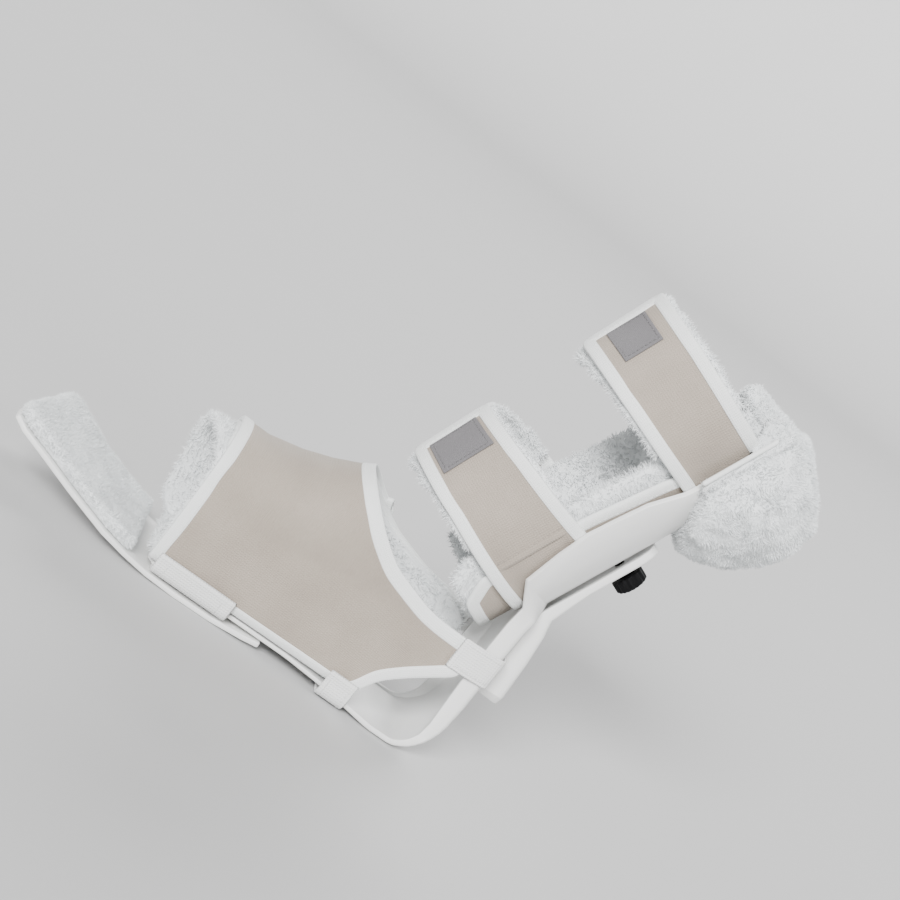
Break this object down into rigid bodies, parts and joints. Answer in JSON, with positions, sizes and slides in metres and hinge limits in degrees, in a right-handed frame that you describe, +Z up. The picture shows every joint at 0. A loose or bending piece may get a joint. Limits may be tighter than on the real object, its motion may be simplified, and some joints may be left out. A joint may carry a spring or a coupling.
{
  "type": "foot brace",
  "caption": "Ankle and foot brace with a white moulded shell and toe plate, a fleece-lined grey wrap, calf straps, a fleece cuff and a swinging bar with a knob.",
  "frame": {"origin": "under the middle of the whole brace, on the surface that it stands on", "axes": "+X from the toes back to the heel and the knob, +Y towards the far side of the foot, +Z up"},
  "size_m": [0.396, 0.1132, 0.2937],
  "materials": {
    "plastic": "satin",
    "fabric": "matt knitted face on foam",
    "tape": "woven binding tape",
    "fleece": "deep fleece pile",
    "webbing": "woven webbing",
    "hook": "hook tape",
    "knob": "black, ribbed"
  },
  "bodies": {
    "brace": {"shell": "plastic", "toe_plate": "plastic", "toe_pad": "fleece", "plate_rivet": "plastic", "foot_fleece": "fleece", "instep_wrap": "fabric", "instep_wrap_binding": "tape", "instep_flap": "fabric", "instep_flap_binding": "tape", "front_sole_web": "webbing", "rear_sole_web": "webbing", "heel_web": "webbing", "calf_liner": "fabric", "calf_liner_binding": "tape", "calf_fleece": "fleece", "lower_strap": "fabric", "lower_strap_binding": "tape", "lower_hook_tab": "hook", "lower_flap": "fabric", "lower_shin_fleece": "fleece", "upper_strap": "fabric", "upper_strap_binding": "tape", "upper_hook_tab": "hook", "upper_flap": "fabric", "upper_shin_fleece": "fleece", "fleece_cuff": "fleece"},
    "bar": {"rotation_bar": "plastic"},
    "knob": {"knob": "knob"}
  },
  "joints": [
    {"name": "bar_swivel", "type": "hinge", "parent": "brace", "child": "bar", "pos_m": [0.12247, 0.00024, 0.15736], "axis": [-0.9272, 0, 0.3746], "range_deg": [-90, 90]},
    {"name": "knob_turn", "type": "hinge", "parent": "brace", "child": "knob", "pos_m": [0.12247, 0.00024, 0.15736], "axis": [-0.9272, 0, 0.3746], "continuous": true}
  ]
}
